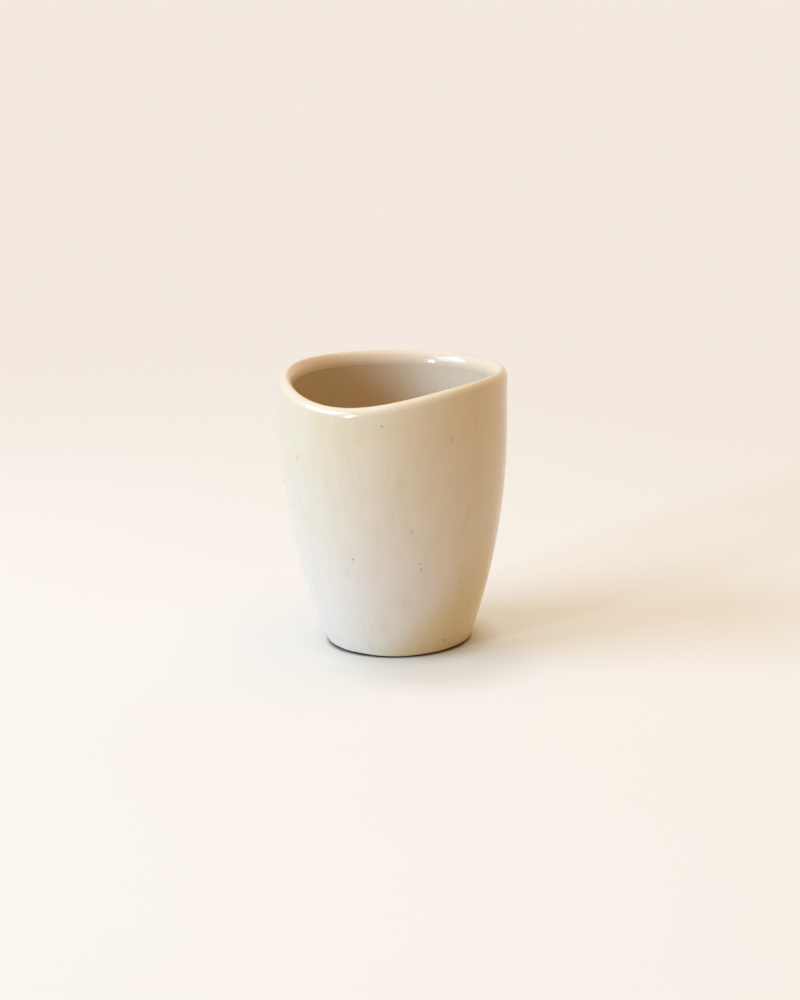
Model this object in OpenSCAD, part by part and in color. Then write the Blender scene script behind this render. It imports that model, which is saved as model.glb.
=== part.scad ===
// Handleless espresso cup: a stoneware tumbler with a coved floor, a trimmed foot ring and a
// rounded lip that is scooped down on one side. A liner coats the inside, a second coat the
// outside, and both meet in a band of glaze over the lip.
// Origin: middle of the foot ring, on the table. +Z is up and the scoop faces front and left.

/* [Cup] */
// Outer diameter at the belly, over the glaze
belly_d = 56; // [48:1:80]
// Height of the rim line above the table, away from the scoop
rim_h = 68.5; // [56:0.1:110]
// Wall thickness over both coats
wall_t = 3.4; // [2.4:0.1:5]
// Thickness of each coat of glaze
glaze_t = 0.4; // [0.2:0.05:0.6]

/* [Rim] */
// Depth of the scoop below the rim line
scoop_depth = 5.7; // [0:0.1:9]
// Direction that the scoop faces, in degrees from +X towards +Y
scoop_direction = 239; // [0:1:359]
// Narrowness of the scoop: a higher number makes it narrower
scoop_power = 4.8; // [1:0.1:8]
// Rise of the rim line's high side, and fall of its low side
tilt_rise = 0.7; // [0:0.1:2]
// Direction of the rim line's high side, in degrees from +X towards +Y
tilt_direction = 195; // [0:1:359]
// Height of the lip's rounding on the outside
lip_out_h = 2.2; // [1.8:0.1:4]
// Height of the lip's slope on the inside
lip_in_h = 3; // [1.8:0.1:4]
// How far the band of glaze over the lip runs on below its rounding and its slope
lip_band = 0.3; // [0.2:0.1:1.5]
// Upright wall left between the belly and the lip band at the bottom of the scoop
upright_h = 2.2; // [1:0.1:12]

/* [Floor and foot] */
// Diameter of the bare clay foot, carried down to the table
foot_d = 34.5; // [30:0.1:46]
// Width of the foot ring that stands on the table
foot_ring_w = 4; // [3:0.1:6]
// Depth of the recess inside the foot ring
recess_h = 1.6; // [0.8:0.1:3]
// Clay thickness of the floor over the recess
floor_t = 3.2; // [2:0.1:6]
// Radius of the cove between the floor and the wall, on the liner
cove_r = 7; // [3:0.5:10]
// Height of the bare clay below the outer coat
bare_h = 0.7; // [0.4:0.1:3]
// Bevel round the foot's outer edge
foot_bevel = 0.3; // [0.1:0.05:0.5]

/* [Hidden] */
$fn = 96;
// Facets of the wall's long arc, which spans only a few degrees of a large circle
arc_fn = 900;
// Steps round the rim, and up each side of the lip
rim_steps = 72;
lip_steps = 5;

belly_r = belly_d / 2;
foot_r = foot_d / 2;
lip_h = max(lip_out_h, lip_in_h);
belly_h = rim_h - scoop_depth - tilt_rise - lip_h - lip_band - upright_h;
// The clay's outside runs in one arc from the foot to the belly, where it is upright
taper = belly_r - glaze_t - foot_r;
arc_r = (taper ^ 2 + belly_h ^ 2) / (2 * taper) + glaze_t;
arc_x = belly_r - arc_r;
// The lip is a little wider than the wall, so it meets the wall at a clear angle
lip_ease = 0.1;
// How round each side of the lip is: 1 is a quarter of an ellipse, 0 a slope up to a pointed crest
lip_out_round = 1;
lip_in_round = 0.3;
wall_mid = belly_r - wall_t / 2;
// How far a rim cutter reaches to each side of the wall's middle, and above the rim line
reach = 2 * wall_t;
cut_top = rim_h + tilt_rise + 3;
clay_floor = recess_h + floor_t;

function rim_z(a) =
    rim_h
    - scoop_depth * ((1 + cos(a - scoop_direction)) / 2) ^ scoop_power
    + tilt_rise * cos(a - tilt_direction);

// Sections [r, z] at equal angles round the axis, joined into one ring
module swept_ring(sections) {
    n = len(sections);
    m = len(sections[0]);
    points = [
        for (i = [0 : n - 1], p = sections[i])
            let (a = 360 * i / n) [p[0] * cos(a), p[0] * sin(a), p[1]]
    ];
    faces = [
        for (i = [0 : n - 1], j = [0 : m - 1])
            let (here = i * m, next = ((i + 1) % n) * m, k = (j + 1) % m)
                each [[here + j, here + k, next + k], [here + j, next + k, next + j]]
    ];
    polyhedron(points, faces, convexity = 6);
}

function rim_angles() = [for (i = [0 : rim_steps - 1]) 360 * i / rim_steps];

// Share of the lip's half thickness that is left at t degrees up one of its sides
function lip_share(t, roundness) = 1 - roundness * (1 - cos(t)) - (1 - roundness) * sin(t) ^ 2;

// Everything above the lip of the surface that lies depth below the glaze
module above_lip(depth) {
    half = wall_t / 2 + lip_ease - depth;
    swept_ring([
        for (a = rim_angles())
            let (inside = rim_z(a) - lip_in_h, outside = rim_z(a) - lip_out_h) [
                [wall_mid - reach, cut_top + 1],
                [wall_mid - reach, inside],
                for (t = [0 : 90 / lip_steps : 90])
                    [wall_mid - half * lip_share(t, lip_in_round), inside + (lip_in_h - depth) * sin(t)],
                for (t = [90 - 90 / lip_steps : -90 / lip_steps : 0])
                    [wall_mid + half * lip_share(t, lip_out_round), outside + (lip_out_h - depth) * sin(t)],
                [wall_mid + reach, outside],
                [wall_mid + reach, cut_top + 1],
            ]
    ]);
}

// The ring of space between the lip band's sloping lower edge and a level height
module beyond_band(level) {
    rising = level > rim_h;
    middle = (lip_in_h + lip_out_h) / 2 + lip_band;
    drop = lip_in_h - lip_out_h;
    swept_ring([
        for (a = rim_angles())
            let (inner = rim_z(a) - middle - drop, outer = rim_z(a) - middle + drop) [
                [wall_mid - wall_t, rising ? level : inner],
                [wall_mid - wall_t, rising ? inner : level],
                [wall_mid + wall_t, rising ? outer : level],
                [wall_mid + wall_t, rising ? level : outer],
            ]
    ]);
}

// Half section of the cup's outside, inset from the face of the outer coat
module outside(inset) {
    intersection() {
        translate([arc_x, belly_h]) circle(arc_r - inset, $fn = arc_fn);
        square([belly_d, belly_h]);
    }
    translate([0, belly_h]) square([belly_r - inset, cut_top - belly_h]);
}

// Half section of the hollow, inset from the face of the outer coat, down to a coved floor
module hollow(inset, floor_z, cove) {
    rise = floor_z + cove - belly_h;
    cove_x = arc_x + sqrt((arc_r - inset - cove) ^ 2 - rise ^ 2);
    slope = atan2(rise, cove_x - arc_x);
    difference() {
        outside(inset);
        square([belly_d, floor_z]);
        translate([cove_x, floor_z + cove]) difference() {
            polygon(2 * cove * [[0, 0], [0, -1], [1, -1], [cos(slope), sin(slope)]]);
            circle(cove);
        }
    }
}

module clay_hollow() {
    hollow(wall_t - glaze_t, clay_floor, cove_r + glaze_t);
}

// Upright wall at the rim between the inside and outside faces, each drawn in by inset
module rim_tube(inset) {
    translate([0, 0, belly_h]) difference() {
        cylinder(r = belly_r - inset, h = cut_top - belly_h - 1);
        translate([0, 0, -1]) cylinder(r = belly_r - wall_t + inset, h = cut_top - belly_h + 1);
    }
}

// Stoneware wall, floor and trimmed foot ring in one piece
module clay_body() {
    recess_r = foot_r - foot_ring_w;
    color("tan") difference() {
        rotate_extrude() difference() {
            outside(glaze_t);
            clay_hollow();
            polygon([[0, 0], [recess_r, 0], [recess_r - recess_h, recess_h], [0, recess_h]]);
            translate([foot_r, 0])
                polygon([[-foot_bevel, 0], [foot_bevel, 0], [foot_bevel, 2 * foot_bevel]]);
        }
        above_lip(glaze_t);
    }
}

// Coat on the outside, from the bare foot up to the lip band
module outer_glaze() {
    color("antiquewhite") difference() {
        rotate_extrude() difference() {
            outside(0);
            outside(glaze_t);
            square([belly_d, bare_h]);
        }
        beyond_band(cut_top + 1);
    }
}

// Liner on the floor, the cove and the inner wall, up to the lip band
module inner_glaze() {
    color("linen") difference() {
        rotate_extrude() difference() {
            clay_hollow();
            hollow(wall_t, clay_floor + glaze_t, cove_r);
        }
        beyond_band(cut_top + 1);
    }
}

// Band of glaze over the lip, where the two coats meet
module lip_glaze() {
    color("bisque") difference() {
        rim_tube(0);
        above_lip(0);
        beyond_band(belly_h - 1);
        difference() {
            rim_tube(glaze_t);
            above_lip(glaze_t);
        }
    }
}

clay_body();
outer_glaze();
inner_glaze();
lip_glaze();
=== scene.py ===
import math

import bpy
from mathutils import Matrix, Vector


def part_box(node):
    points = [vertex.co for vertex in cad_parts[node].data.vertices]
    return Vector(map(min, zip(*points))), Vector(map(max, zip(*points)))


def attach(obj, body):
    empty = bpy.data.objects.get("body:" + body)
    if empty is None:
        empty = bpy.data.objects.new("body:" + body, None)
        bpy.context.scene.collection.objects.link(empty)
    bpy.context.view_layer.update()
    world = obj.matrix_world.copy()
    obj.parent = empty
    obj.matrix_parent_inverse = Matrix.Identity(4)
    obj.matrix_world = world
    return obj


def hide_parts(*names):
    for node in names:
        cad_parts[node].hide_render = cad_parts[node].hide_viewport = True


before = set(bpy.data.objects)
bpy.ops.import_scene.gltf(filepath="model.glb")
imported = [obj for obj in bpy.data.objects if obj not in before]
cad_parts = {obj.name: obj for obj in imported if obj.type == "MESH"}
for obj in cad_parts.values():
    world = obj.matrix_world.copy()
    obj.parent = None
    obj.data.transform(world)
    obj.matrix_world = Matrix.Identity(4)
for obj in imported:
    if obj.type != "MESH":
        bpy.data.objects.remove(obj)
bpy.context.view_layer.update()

# Clay body: wheel-thrown buff stoneware, with a trimmed foot ring and a turned recess under the floor.
# Wall, floor and ring are one piece, and only the ring and the recess stay bare of glaze.
belly_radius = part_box("outer_glaze")[1].x
glaze = belly_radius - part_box("clay_body")[1].x
wall = belly_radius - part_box("inner_glaze")[1].x + glaze
rim_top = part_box("lip_glaze")[1].z
clay_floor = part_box("inner_glaze")[0].z
belly_height = 0.0566
foot_radius = 0.01725
taper = belly_radius - glaze - foot_radius
arc_radius = (taper ** 2 + belly_height ** 2) / (2 * taper) + glaze
arc_centre = belly_radius - arc_radius
lean_start = 0.05
mouth_lean = 0.0006
mouth_drawn_in = 0.0002


def lean_share(height):
    """How fully a height takes part in the mouth's lean: none low on the wall, all at the rim."""
    return min(1, max(0, (height - lean_start) / (rim_top - lean_start)) ** 2)


def wall_face(height, inset):
    """Radius of the wall at a height, drawn in from the outer coat's face by inset."""
    drawn = inset + mouth_drawn_in * lean_share(height)
    if height >= belly_height:
        return belly_radius - drawn
    drop = height - belly_height
    return arc_centre + math.sqrt((arc_radius - inset) ** 2 - drop ** 2) - drawn + inset


def climb(low, high, inset, steps):
    """Profile points up the wall face from one height to another."""
    heights = [low + (high - low) * i / steps for i in range(steps + 1)]
    return [(wall_face(z, inset), z) for z in heights]


def sweep(centre, radius, start, end, steps):
    """Profile points along an arc, with angles in degrees from the outward horizontal."""
    angles = [math.radians(start + (end - start) * i / steps) for i in range(steps + 1)]
    return [(centre[0] + radius * math.cos(a), centre[1] + radius * math.sin(a)) for a in angles]


lip_out_height = 0.0022
lip_out_round = 1
lip_in_height = 0.003
lip_in_round = 0.5


def lip_side(side, height, roundness, depth, steps):
    """Profile points up one side of the lip to its crest, depth below the face of the glaze."""
    points = []
    for i in range(steps + 1):
        turn = math.pi / 2 * i / steps
        left = 1 - roundness * (1 - math.cos(turn)) - (1 - roundness) * math.sin(turn) ** 2
        z = rim_top - height + (height - depth) * math.sin(turn)
        points.append((wall_face(z, wall / 2) + side * (wall / 2 - depth) * left, z))
    return points


def over_lip(depth, steps):
    """Profile over the lip, from the round outside to the sloping inside."""
    outside = lip_side(1, lip_out_height, lip_out_round, depth, steps)
    inside = lip_side(-1, lip_in_height, lip_in_round, depth, steps)
    return outside + inside[-2::-1]


cove_steps = 12
floor_steps = 16
floor_dish = 0.0003


def descend_inside(top, inset, floor, cove, steps):
    """Profile points down the inner wall, round the cove and along the dished floor to the axis."""
    rise = floor + cove - belly_height
    cove_x = arc_centre + math.sqrt((arc_radius - inset - cove) ** 2 - rise ** 2)
    slope = math.atan2(rise, cove_x - arc_centre)
    meet = belly_height + (arc_radius - inset) * math.sin(slope)
    down = climb(meet, top, inset, steps)[::-1]
    round_cove = sweep((cove_x, floor + cove), cove, math.degrees(slope), -90, cove_steps)[1:]
    across = []
    for i in range(1, floor_steps + 1):
        dip = floor_dish * (1 - math.cos(math.pi * i / floor_steps)) / 2
        across.append((cove_x * (1 - i / floor_steps), floor - dip))
    return down + round_cove + across


turns = 180
weld_distance = 1e-6
crease_angle = math.radians(35)


def throw(name, profile, closed):
    """Draw a profile point by point and turn it round the axis into one mesh."""
    bpy.ops.object.select_all(action="DESELECT")
    bpy.ops.mesh.primitive_plane_add(size=0.01)
    piece = bpy.context.object
    piece.name = name
    piece.data.name = name
    bpy.ops.object.mode_set(mode="EDIT")
    bpy.ops.mesh.select_all(action="SELECT")
    bpy.ops.mesh.merge(type="CENTER")
    bpy.ops.transform.translate(value=(profile[0][0], 0, profile[0][1]))
    outline = profile + profile[:1] if closed else profile
    for here, there in zip(outline, outline[1:]):
        step = (there[0] - here[0], 0, there[1] - here[1])
        bpy.ops.mesh.extrude_vertices_move(TRANSFORM_OT_translate={"value": step})
    bpy.ops.mesh.select_all(action="SELECT")
    bpy.ops.mesh.spin(steps=turns, angle=math.tau, center=(0, 0, 0), axis=(0, 0, 1))
    bpy.ops.mesh.select_all(action="SELECT")
    bpy.ops.mesh.remove_doubles(threshold=weld_distance)
    bpy.ops.mesh.normals_make_consistent(inside=False)
    bpy.ops.object.mode_set(mode="OBJECT")
    bpy.ops.object.shade_smooth_by_angle(angle=crease_angle)
    return piece


def push(piece, direction, distance, share):
    """Move a piece's points along X or Z by a share of a distance, taken from each point's place."""
    group = piece.vertex_groups.new(name="push")
    for v in piece.data.vertices:
        group.add([v.index], share(v.co), "REPLACE")
    bpy.ops.object.modifier_add(type="DISPLACE")
    shift = piece.modifiers[-1]
    shift.direction = direction
    shift.mid_level = 0
    shift.strength = distance
    shift.vertex_group = group.name
    bpy.ops.object.modifier_apply(modifier=shift.name)
    piece.vertex_groups.clear()


scoop_depth = 0.0057
scoop_direction = math.radians(239)
scoop_power = 4.8
tilt_rise = 0.0007
tilt_direction = math.radians(195)


def rim_line(angle):
    """How far the crest lies above or below the plain rim at an angle round the cup."""
    scoop = ((1 + math.cos(angle - scoop_direction)) / 2) ** scoop_power
    return -scoop_depth * scoop + tilt_rise * math.cos(angle - tilt_direction)


highest_rim = max(rim_line(math.radians(a)) for a in range(360))
lowest_rim = min(rim_line(math.radians(a)) for a in range(360))
lip_band = 0.0003
band_in = rim_top - lip_in_height - lip_band


def rim_drop(place):
    """Share of the scoop's full drop at a place: none at the belly, all of it from the lip band up."""
    part = min(1, max(0, (place.z - belly_height) / (band_in - belly_height)))
    drop = highest_rim - rim_line(math.atan2(place.y, place.x))
    return part * drop / (highest_rim - lowest_rim)


def shape_mouth(piece):
    """Scoop and lean the mouth of a piece, and note how far each point lies below the crest."""
    push(piece, "Z", lowest_rim - highest_rim, rim_drop)
    crests = [rim_top - highest_rim + rim_line(math.atan2(v.co.y, v.co.x)) for v in piece.data.vertices]
    below = piece.data.attributes.new("below_rim", "FLOAT", "POINT")
    below.data.foreach_set("value", [crest - v.co.z for crest, v in zip(crests, piece.data.vertices)])
    push(piece, "X", mouth_lean, lambda place: lean_share(place.z))


wall_steps = 40
hollow_steps = 30
lip_steps = 12
undercut_steps = 8
undercut_depth = 0.002
undercut_height = 0.0012
groove_pitch = 0.0009
groove_depth = 0.00005
groove_steps = 4
foot_ring_width = 0.004
ring_edge_inset = 0.0002
ring_edge_radius = 0.0003
ring_edge_steps = 4
recess_depth = 0.0016
recess_radius = foot_radius - foot_ring_width
recess_end = recess_radius - recess_depth
cove_radius = 0.007
clay_cove = cove_radius + glaze
ripples = groove_steps * round(recess_end / groove_pitch)
clay_profile = []
for i in range(ripples + 1):
    wave = math.cos(math.tau * i / groove_steps) * (0 < i < ripples)
    clay_profile.append((recess_end * i / ripples, recess_depth + groove_depth * wave))
ring_edge = (recess_radius + ring_edge_inset, ring_edge_radius)
clay_profile += sweep(ring_edge, ring_edge_radius, 225, 270, ring_edge_steps)
undercut_start = wall_face(undercut_height, glaze) - undercut_depth
for i in range(undercut_steps + 1):
    turn = math.pi / 2 * i / undercut_steps
    reach = undercut_start + undercut_depth * math.sin(turn)
    clay_profile.append((reach, undercut_height * (1 - math.cos(turn))))
clay_profile += climb(undercut_height, rim_top - lip_out_height, glaze, wall_steps)[1:]
clay_profile += over_lip(glaze, lip_steps)[1:]
lip_foot = rim_top - lip_in_height
clay_profile += descend_inside(lip_foot, wall - glaze, clay_floor, clay_cove, hollow_steps)[1:]
clay_body = throw("stoneware_body", clay_profile, closed=False)
shape_mouth(clay_body)
dark_clay = (0.33, 0.245, 0.17)
light_clay = (0.4, 0.305, 0.215)
grit_colour = (0.2, 0.13, 0.08)
# Painted shade: the bare clay is darkened from the outer part of the foot ring outward, where the gap under
# the glaze bead lies in shade.
gap_shade_tone = (0.1, 0.06, 0.035)
gap_shade_start = 0.0148
gap_shade_full = 0.0162


def node(tree, kind, **sockets):
    """Add a shader node and set or link its inputs by name."""
    made = tree.nodes.new(kind)
    for name, value in sockets.items():
        socket = made.inputs[name.replace("_", " ")]
        if isinstance(value, bpy.types.NodeSocket):
            tree.links.new(value, socket)
        else:
            socket.default_value = value
    return made


def ramp(tree, value, start, end, first, last, smooth=False):
    """Turn a value between start and end into one between first and last, held outside them."""
    made = node(tree, "ShaderNodeMapRange", Value=value, From_Min=start, From_Max=end,
                To_Min=first, To_Max=last)
    if smooth:
        made.interpolation_type = "SMOOTHSTEP"
    return made.outputs["Result"]


def blend(tree, share, one, other):
    """Mix two colours by a share."""
    one = one if isinstance(one, bpy.types.NodeSocket) else (*one, 1)
    return node(tree, "ShaderNodeMixRGB", Fac=share, Color1=one, Color2=(*other, 1)).outputs["Color"]


def grain(tree, place, scale, detail):
    """Soft random grain from 0 to 1, scale grains to the metre."""
    return node(tree, "ShaderNodeTexNoise", Vector=place, Scale=scale, Detail=detail).outputs["Fac"]


def measure(tree, place, operation, other=(0, 0, 0)):
    """Length of a place, its distance from another place, or its dot product with a direction."""
    made = node(tree, "ShaderNodeVectorMath", Vector=place)
    made.operation = operation
    made.inputs[1].default_value = other
    return made.outputs["Value"]


clay = bpy.data.materials.new("bare_stoneware")
clay.use_nodes = True
tree = clay.node_tree
shader = tree.nodes["Principled BSDF"]
place = tree.nodes.new("ShaderNodeTexCoord").outputs["Object"]
grit = grain(tree, place, scale=2600, detail=4)
warmth = grain(tree, place, scale=120, detail=3)
body = blend(tree, ramp(tree, warmth, 0.35, 0.65, 0, 1), dark_clay, light_clay)
body = blend(tree, ramp(tree, grit, 0.5, 0.72, 0, 0.5), body, grit_colour)
away = measure(tree, place, "LENGTH")
# Painted shade: the clay darkens towards the foot's outer edge, standing in for the shaded gap under the
# bead.
body = blend(tree, ramp(tree, away, gap_shade_start, gap_shade_full, 0, 0.85), body, gap_shade_tone)
tree.links.new(body, shader.inputs["Base Color"])
tree.links.new(ramp(tree, grit, 0.3, 0.7, 0.95, 0.75), shader.inputs["Roughness"])
sandy = node(tree, "ShaderNodeBump", Height=grit, Strength=0.5, Distance=0.00012)
tree.links.new(sandy.outputs["Normal"], shader.inputs["Normal"])
clay_body.data.materials.append(clay)
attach(clay_body, "root")
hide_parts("clay_body")

# Inner glaze: the liner, poured in and out again, so it coats the floor, the cove and the inner wall
# evenly and ends below the lip. It fired to a hazy tan; painted shade darkens it to the left and painted
# light makes it paler towards the right.
liner_profile = descend_inside(band_in, wall - glaze, clay_floor, clay_cove, wall_steps)[::-1]
liner_profile += descend_inside(band_in, wall, clay_floor + glaze, cove_radius, wall_steps)
inner_glaze = throw("poured_liner", liner_profile, closed=False)
shape_mouth(inner_glaze)
# Painted shade and light: the liner is darker on the left of the inside and paler on the right.
shaded_liner = (0.565, 0.41, 0.21)
lit_liner = (0.71, 0.57, 0.365)
shade_left_of = -0.02
light_right_of = 0.008
cloud_tone = (0.8, 0.735, 0.63)
sallow_tint = (0.99, 0.985, 0.945)
rosy_tint = (1.015, 0.985, 0.985)
thin_lip = (0.74, 0.635, 0.445)
thinnest = 0.0003
thickened = 0.0016
streak_tone = (0.5, 0.35, 0.19)
mottle_tone = (0.55, 0.42, 0.27)
bled_tone = (0.36, 0.23, 0.1)
pepper_tone = (0.32, 0.19, 0.09)
iron = (0.16, 0.085, 0.035)
speck_core = 0.02


def stretched(tree, place, upright):
    """The same place with heights counted at a fraction, so that a pattern runs upright."""
    return node(tree, "ShaderNodeMapping", Vector=place, Scale=(1, 1, upright)).outputs["Vector"]


def specks(tree, place, scale, edge, strength):
    """Share of scattered round specks, full inside the core and gone at the edge, in cells."""
    cells = node(tree, "ShaderNodeTexVoronoi", Vector=place, Scale=scale)
    return ramp(tree, cells.outputs["Distance"], speck_core, edge, strength, 0)


def liner_tone(tree, place):
    """Liner with painted shade to the left and painted light making it paler towards the right."""
    across = node(tree, "ShaderNodeSeparateXYZ", Vector=place).outputs["X"]
    return blend(tree, ramp(tree, across, shade_left_of, light_right_of, 0, 1), shaded_liner, lit_liner)


def speckled_glaze(name, ground, haze, speckle):
    """Glossy glaze over a ground tone: clouded, warm and thin at the lip, with streaks and iron specks."""
    glossy = bpy.data.materials.new(name)
    glossy.use_nodes = True
    tree = glossy.node_tree
    shader = tree.nodes["Principled BSDF"]
    shader.inputs["IOR"].default_value = 1.5
    shader.inputs["Specular IOR Level"].default_value = 0.25
    shader.inputs["Coat Weight"].default_value = 0.35
    shader.inputs["Coat Roughness"].default_value = haze
    place = tree.nodes.new("ShaderNodeTexCoord").outputs["Object"]
    below = tree.nodes.new("ShaderNodeAttribute")
    below.attribute_name = "below_rim"
    clouds = grain(tree, place, scale=65, detail=3)
    cloud_share = ramp(tree, clouds, 0.35, 0.7, 0, 0.25 * speckle)
    tone = blend(tree, cloud_share, ground(tree, place), cloud_tone)
    blush = grain(tree, place, scale=170, detail=2)
    tint = blend(tree, ramp(tree, blush, 0.38, 0.62, 0, 1), sallow_tint, rosy_tint)
    dyed = node(tree, "ShaderNodeMixRGB", Fac=speckle, Color1=tone, Color2=tint)
    dyed.blend_type = "MULTIPLY"
    tone = dyed.outputs["Color"]
    tone = blend(tree, ramp(tree, below.outputs["Fac"], thinnest, thickened, 1, 0), tone, thin_lip)
    streaks = grain(tree, stretched(tree, place, 0.25), scale=420, detail=4)
    tone = blend(tree, ramp(tree, streaks, 0.48, 0.75, 0, 0.1), tone, streak_tone)
    mottle = grain(tree, stretched(tree, place, 0.5), scale=1500, detail=3)
    tone = blend(tree, ramp(tree, mottle, 0.5, 0.75, 0, 0.1), tone, mottle_tone)
    bled = specks(tree, stretched(tree, place, 0.4), scale=170, edge=0.075, strength=0.3 * speckle)
    tone = blend(tree, bled, tone, bled_tone)
    peppered = specks(tree, place, scale=480, edge=0.05, strength=0.4 * speckle)
    tone = blend(tree, peppered, tone, pepper_tone)
    spots = specks(tree, place, scale=150, edge=0.05, strength=0.65 * speckle)
    tone = blend(tree, spots, tone, iron)
    tree.links.new(tone, shader.inputs["Base Color"])
    tree.links.new(ramp(tree, clouds, 0.3, 0.7, 0.14, 0.22), shader.inputs["Roughness"])
    swell = node(tree, "ShaderNodeBump", Height=clouds, Strength=0.35, Distance=0.0003)
    swollen = swell.outputs["Normal"]
    peel = node(tree, "ShaderNodeBump", Height=mottle, Strength=0.12, Distance=0.00004, Normal=swollen)
    tree.links.new(peel.outputs["Normal"], shader.inputs["Normal"])
    tree.links.new(swollen, shader.inputs["Coat Normal"])
    return glossy


inner_glaze.data.materials.append(speckled_glaze("liner_glaze", liner_tone, haze=0.16, speckle=0.3))
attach(inner_glaze, "root")
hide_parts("inner_glaze")

# Outer glaze: the cup is held by its foot and dipped upside down, so the coat stops in a soft, slightly
# uneven bead just above the table and leaves the foot bare. It is oatmeal above and milkier low down, where
# it ran thickest; painted light keeps that milk to the lit left, and painted shade darkens it low on the
# right.
milk_and_light = (0.825, 0.75, 0.615)
oatmeal = (0.755, 0.618, 0.388)
painted_low_right_shade = (0.755, 0.58, 0.27)
milk_and_light_below = 0.012
oatmeal_above = 0.058
unlit_side_heading = (1, 0, -0.7)
shade_heading = (0.8, 0, -1)
coat_steps = 48
bead_steps = 8
lowest_bead = 0.0003
bead_rise = 0.0006
bead_fade = 0.004
mean_rise = 0.45
rise_swing = 1.5


def dip_line(place):
    """Share of the bead's rise at a place: high at the left and right, low in front, gone up the wall."""
    angle = math.atan2(place.y, place.x)
    sway = 0.08 * math.cos(angle - math.radians(200)) + 0.2 * math.cos(3 * angle - math.radians(630))
    flutter = 0.03 * math.sin(9 * angle + 1) + 0.02 * math.sin(14 * angle)
    fade = max(0, 1 - place.z / bead_fade)
    return fade * min(1, max(0, mean_rise + rise_swing * (sway + flutter)))


def coat_tone(tree, place):
    """Oatmeal coat, milkier low where it ran thickest, with painted light on the left and painted shade low
    right.
    """
    height = node(tree, "ShaderNodeSeparateXYZ", Vector=place).outputs["Z"]
    tone = blend(tree, ramp(tree, height, milk_and_light_below, oatmeal_above, 0, 1), milk_and_light, oatmeal)
    # Painted light: the milk is kept to the left, where the window falls.
    rightward = measure(tree, place, "DOT_PRODUCT", unlit_side_heading)
    tone = blend(tree, ramp(tree, rightward, -0.004, 0.008, 0, 1), tone, oatmeal)
    # Painted shade: the coat darkens and warms low on the right.
    toward_shade = measure(tree, place, "DOT_PRODUCT", shade_heading)
    return blend(tree, ramp(tree, toward_shade, -0.008, 0.003, 0, 0.9), tone, painted_low_right_shade)


band_out = rim_top - lip_out_height - lip_band
bead = lowest_bead + glaze / 2
coat_profile = climb(bead, band_out, 0, coat_steps)
coat_profile += climb(bead, band_out, glaze, coat_steps)[::-1]
coat_profile += sweep((wall_face(bead, glaze / 2), bead), glaze / 2, 180, 360, bead_steps)[1:-1]
outer_glaze = throw("dipped_coat", coat_profile, closed=True)
shape_mouth(outer_glaze)
push(outer_glaze, "Z", bead_rise, dip_line)
outer_glaze.data.materials.append(speckled_glaze("outer_glaze", coat_tone, haze=0.05, speckle=1))
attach(outer_glaze, "root")
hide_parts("outer_glaze")

# Lip glaze: liner and outer coat meet over the lip, which is round outside and slopes inside. The melt
# runs thin there and breaks to a paler, warmer line.
lip_face_steps = 20
lip_profile = [(wall_face(band_out, 0), band_out)] + over_lip(0, lip_face_steps)
lip_profile += [(wall_face(band_in, wall), band_in), (wall_face(band_in, wall - glaze), band_in)]
lip_profile += over_lip(glaze, lip_steps)[::-1] + [(wall_face(band_out, glaze), band_out)]
lip_glaze = throw("lip_band", lip_profile, closed=True)
shape_mouth(lip_glaze)
lip_glaze.data.materials.append(speckled_glaze("lip_glaze", coat_tone, haze=0.08, speckle=0.5))
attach(lip_glaze, "root")
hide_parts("lip_glaze")

# Floor: a plain pale table top that keeps the cup's shadow and fades into the backdrop's colour. Painted
# shade is part of its colour: a soft contact shade in front of the foot, a warm ring and a thin dark line
# round it. Just beyond the foot a share of the backdrop's glow is painted in, which lifts the cup's shadow.
# Light that bounces off it meets one plain matte tone.
floor_radius = 3
floor_colour = (0.825, 0.84, 0.755)
floor_bounce = (0.61, 0.58, 0.49, 1)
backdrop_colour = (0.896, 0.815, 0.745, 1)
painted_contact_shade = (0.645, 0.64, 0.535)
contact_spot = (0.01, -0.021, 0)
contact_core = 0.008
contact_end = 0.03
painted_warm_ring = (0.82, 0.76, 0.6)
ring_start = 0.017
ring_end = 0.025
painted_contact_line = (0.34, 0.24, 0.15)
line_start = 0.0171
line_end = 0.0184
shadow_lift = 0.32
lift_start = 0.019
lift_full = 0.026
fade_start = 0.14
fade_end = 0.46
bpy.ops.object.select_all(action="DESELECT")
bpy.ops.mesh.primitive_circle_add(vertices=96, radius=floor_radius, fill_type="NGON")
floor = bpy.context.object
floor.name = "floor"


def larger(tree, one, other):
    """The larger of two values."""
    made = tree.nodes.new("ShaderNodeMath")
    made.operation = "MAXIMUM"
    tree.links.new(one, made.inputs[0])
    tree.links.new(other, made.inputs[1])
    return made.outputs["Value"]


def seen_rays(tree):
    """1 for the rays that show a backdrop: those of the camera, of gloss and of glass."""
    path = tree.nodes.new("ShaderNodeLightPath").outputs
    mirrored = larger(tree, path["Is Glossy Ray"], path["Is Transmission Ray"])
    return larger(tree, path["Is Camera Ray"], mirrored)


def choose(tree, share, one, other):
    """Mix two shaders by a share."""
    made = node(tree, "ShaderNodeMixShader", Fac=share)
    tree.links.new(one, made.inputs[1])
    tree.links.new(other, made.inputs[2])
    return made.outputs["Shader"]


table = bpy.data.materials.new("pale_table")
table.use_nodes = True
tree = table.node_tree
tree.nodes.remove(tree.nodes["Principled BSDF"])
bounce = node(tree, "ShaderNodeBsdfDiffuse", Color=floor_bounce).outputs["BSDF"]
far = node(tree, "ShaderNodeEmission", Color=backdrop_colour, Strength=1).outputs["Emission"]
place = tree.nodes.new("ShaderNodeTexCoord").outputs["Object"]
away = measure(tree, place, "LENGTH")
contact = measure(tree, place, "DISTANCE", contact_spot)
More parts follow.
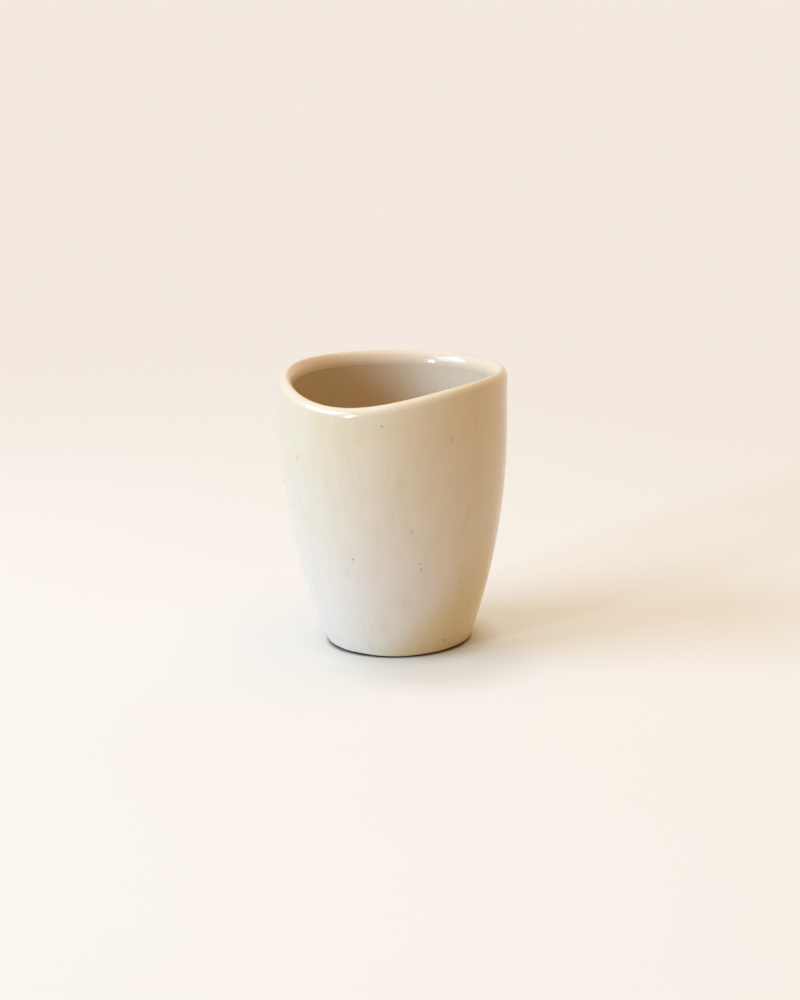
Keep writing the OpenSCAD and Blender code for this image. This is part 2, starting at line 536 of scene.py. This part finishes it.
# Painted shade: a warm ring and a soft contact shade near the foot, and a thin dark line round it.
tone = blend(tree, ramp(tree, away, ring_start, ring_end, 0, 1), painted_warm_ring, floor_colour)
contact_share = ramp(tree, contact, contact_core, contact_end, 1, 0, smooth=True)
tone = blend(tree, contact_share, tone, painted_contact_shade)
tone = blend(tree, ramp(tree, away, line_start, line_end, 1, 0), tone, painted_contact_line)
lit = node(tree, "ShaderNodeBsdfDiffuse", Color=tone).outputs["BSDF"]
# Painted light: from just beyond the foot a share of the backdrop's glow lifts the cup's shadow.
lift = ramp(tree, away, lift_start, lift_full, 0, shadow_lift)
fade = ramp(tree, away, fade_start, fade_end, lift, 1, smooth=True)
shown = choose(tree, fade, lit, far)
surface = choose(tree, seen_rays(tree), bounce, shown)
tree.links.new(surface, tree.nodes["Material Output"].inputs["Surface"])
floor.data.materials.append(table)

# Light: a tall cool window to the left and a little to the front, a narrow pane beside it nearer the
# camera, and a wide warm lamp overhead.
lamp_distance = 1.5
lamp_aim_height = 0.04


def lamp(name, bearing, elevation, width, height, watts, colour):
    """Rectangular lamp that faces the cup from a bearing and an elevation in degrees."""
    level = math.cos(math.radians(elevation)) * lamp_distance
    spot = Vector((level * math.cos(math.radians(bearing)), level * math.sin(math.radians(bearing)),
                   lamp_aim_height + lamp_distance * math.sin(math.radians(elevation))))
    light = bpy.data.lights.new(name, "AREA")
    light.shape = "RECTANGLE"
    light.size = width
    light.size_y = height
    light.energy = watts
    light.color = colour
    holder = bpy.data.objects.new(name, light)
    holder.location = spot
    holder.rotation_euler = (Vector((0, 0, lamp_aim_height)) - spot).to_track_quat("-Z", "Y").to_euler()
    bpy.context.scene.collection.objects.link(holder)


lamp("window", bearing=192, elevation=34, width=0.95, height=0.75, watts=23, colour=(0.41, 0.635, 1))
lamp("side_pane", bearing=224, elevation=13, width=0.14, height=0.5, watts=11.4, colour=(0.45, 0.67, 1))
lamp("overhead", bearing=180, elevation=89, width=1.8, height=1.8, watts=16.5, colour=(1, 0.83, 0.68))

# Room: warm all round and brighter on the right, with a neutral glow from behind on the right. Camera and
# gloss see only the plain backdrop.
left_glow = (0.24, 0.12, 0.04)
right_glow = (0.475, 0.268, 0.078)
rear_glow = (1, 0.98, 0.93)
rear_heading = (0.64, 0.77, -0.6)
world = bpy.data.worlds.new("warm_room")
bpy.context.scene.world = world
world.use_nodes = True
tree = world.node_tree
heading = tree.nodes.new("ShaderNodeTexCoord").outputs["Generated"]
rightward = node(tree, "ShaderNodeSeparateXYZ", Vector=heading).outputs["X"]
glow = blend(tree, ramp(tree, rightward, -1, 1, 0, 1), left_glow, right_glow)
rearward = measure(tree, heading, "DOT_PRODUCT", rear_heading)
glow = blend(tree, ramp(tree, rearward, 0, 0.8, 0, 1), glow, rear_glow)
room = tree.nodes["Background"]
tree.links.new(glow, room.inputs["Color"])
backdrop = node(tree, "ShaderNodeBackground", Color=backdrop_colour, Strength=1)
sky = choose(tree, seen_rays(tree), room.outputs["Background"], backdrop.outputs["Background"])
tree.links.new(sky, tree.nodes["World Output"].inputs["Surface"])

# Camera: a long lens a little above the rim, turned by almost two degrees as the photograph is.
camera_distance = 0.54
camera_elevation = math.radians(13.75)
camera_pivot_height = 0.033
camera_roll = math.radians(1.68)
focal_pixels = 2183
photo_height = 1000
aim = Vector((0.00118, 0.00044, 0.03505))
lens = bpy.data.cameras.new("camera")
lens.sensor_width = 36
lens.lens = focal_pixels / photo_height * lens.sensor_width
camera = bpy.data.objects.new("camera", lens)
camera.location = (0, -camera_distance * math.cos(camera_elevation),
                   camera_pivot_height + camera_distance * math.sin(camera_elevation))
camera.rotation_euler = (aim - camera.location).to_track_quat("-Z", "Y").to_euler()
camera.rotation_euler.rotate_axis("Z", -camera_roll)
bpy.context.scene.collection.objects.link(camera)
bpy.context.scene.camera = camera

bpy.context.scene.view_settings.view_transform = "Standard"
